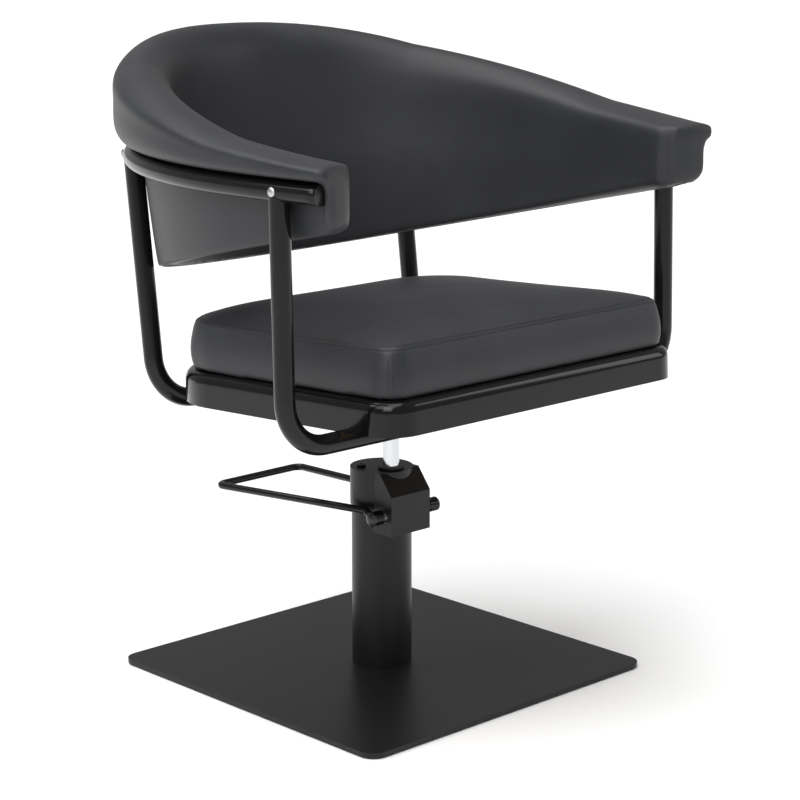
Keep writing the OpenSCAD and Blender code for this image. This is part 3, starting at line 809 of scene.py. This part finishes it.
def corner_seam(corner, shift):
    """Line up the boxing at a front corner, moved round the corner by shift."""
    sx = -1 if corner else 1
    cx, cy = sx * (CUSHION_HW - FRONT_R), CUSHION_FRONT + FRONT_R
    t = math.radians(-45) + shift / FRONT_R
    dx, dy = sx * math.cos(t) * FRONT_R, math.sin(t) * FRONT_R
    return [raked(cx + dx, cy + dy, PAN_H + 4 * MM + i * 4 * MM) for i in range(13)]


corner_lines = [(corner_seam(c, s * MM), False) for c in (0, 1) for s in (-3.2, 3.2)]
stitches("corner_stitches", cushion_skin, corner_lines)
top_stitch = [raked(x, y, SEAM_H + 3 * MM) for x, y in cushion_outline(SEAM_INSET + 5 * MM)]
stitches("top_stitches", cushion_skin, [(top_stitch, True)])

# ---------- rail and pedal bar ----------


def make_rail():
    steps = 220
    path = []
    for i in range(steps + 1):
        a = RAIL_END * (2 * i / steps - 1)
        path.append(Vector((*plan(a), RAIL_Z)))
    rail = lofted("rail_tube", tube_rings(path, TUBE_R, 40))
    return piece(rail, "seat", "gloss_black_metal", ENAMEL, "arm_rail")


def make_pedal_bar():
    """Round bar of the pedal: it kinks up out of its hubs, then runs back to a tight-bent end."""
    axis_y, axis_z = -24 * MM, 223 * MM
    drop = math.radians(2.9)
    start_x, half, length, bend = 49 * MM, 75 * MM, 296 * MM, 12 * MM
    rise, kink, first = 8 * MM, 20 * MM, 6 * MM
    splay = math.atan((half - start_x) / length)
    s = (length - bend - bend * math.sin(splay)) / math.cos(splay)
    cx, cy = start_x + s * math.sin(splay) - bend * math.cos(splay), length - bend
    right = []
    for i in range(9):
        y = first + (kink - first) * i / 8
        right.append((start_x + y * math.sin(splay), y, rise * (1 - math.cos(math.pi * i / 8)) / 2))
    for i in range(13):
        t = -splay + (math.pi / 2 + splay) * i / 12
        right.append((cx + bend * math.cos(t), cy + bend * math.sin(t), rise))
    loop = right + [(-x, y, z) for x, y, z in reversed(right)]
    path = [Vector((x, axis_y + y * math.cos(drop) + z * math.sin(drop),
                    axis_z + z * math.cos(drop) - y * math.sin(drop))) for x, y, z in loop]
    bar = lofted("pedal_bar", tube_rings(path, 5 * MM, 28))
    return piece(bar, "pedal", "gloss_black_metal", ENAMEL, "pedal_frame")


make_rail()
make_pedal_bar()

# ---------- floor, lights and camera ----------

FLOOR_HALF = 40.0
CAMERA_PLACE = (-2.0041, -2.1233, 1.0358)
CAMERA_DOWN = 12.85
CAMERA_ROUND = 43.58
CAMERA_LENS = 102.7


def plain(name, colour, roughness):
    mat, _, shader = node_material(name)
    shader.inputs["Base Color"].default_value = (*colour, 1)
    shader.inputs["Roughness"].default_value = roughness
    return mat


def make_floor():
    h = FLOOR_HALF
    floor = mesh_object("floor", [(-h, -h, 0), (h, -h, 0), (h, h, 0), (-h, h, 0)],
                        [(0, 1, 2, 3)], False)
    dress(floor, plain("floor_paint", (0.93, 0.93, 0.93), 0.7))


def area_light(name, place, target, size, power):
    data = bpy.data.lights.new(name, "AREA")
    data.shape = "RECTANGLE"
    data.size, data.size_y = size
    data.energy = power
    light = bpy.data.objects.new(name, data)
    light.location = place
    light.rotation_euler = (Vector(target) - Vector(place)).to_track_quat("-Z", "Y").to_euler()
    bpy.context.scene.collection.objects.link(light)


def overhead_light(strength, spread):
    """Even soft light from above, the same over the whole floor."""
    data = bpy.data.lights.new("overhead", "SUN")
    data.energy = strength
    data.angle = math.radians(spread)
    light = bpy.data.objects.new("overhead", data)
    light.rotation_euler = (math.radians(-10), math.radians(-16), 0)
    bpy.context.scene.collection.objects.link(light)


def make_camera():
    data = bpy.data.cameras.new("camera")
    data.lens = CAMERA_LENS
    data.sensor_width = 36
    data.clip_end = 60
    camera = bpy.data.objects.new("camera", data)
    camera.location = CAMERA_PLACE
    camera.rotation_euler = (math.radians(90 - CAMERA_DOWN), 0, math.radians(-CAMERA_ROUND))
    bpy.context.scene.collection.objects.link(camera)
    bpy.context.scene.camera = camera


def make_world():
    world = bpy.data.worlds.new("studio")
    world.use_nodes = True
    world.node_tree.nodes["Background"].inputs["Color"].default_value = (1, 1, 1, 1)
    world.node_tree.nodes["Background"].inputs["Strength"].default_value = 0.35
    bpy.context.scene.world = world
    bpy.context.scene.view_settings.view_transform = "Standard"


make_floor()
make_world()
overhead_light(3.1, 70)
area_light("key", (-1.9, -1.0, 2.1), (0, 0, 0.65), (1.2, 1.6), 26)
area_light("fill", (2.2, -1.6, 1.7), (0, 0, 0.6), (0.7, 1.6), 9)
make_camera()
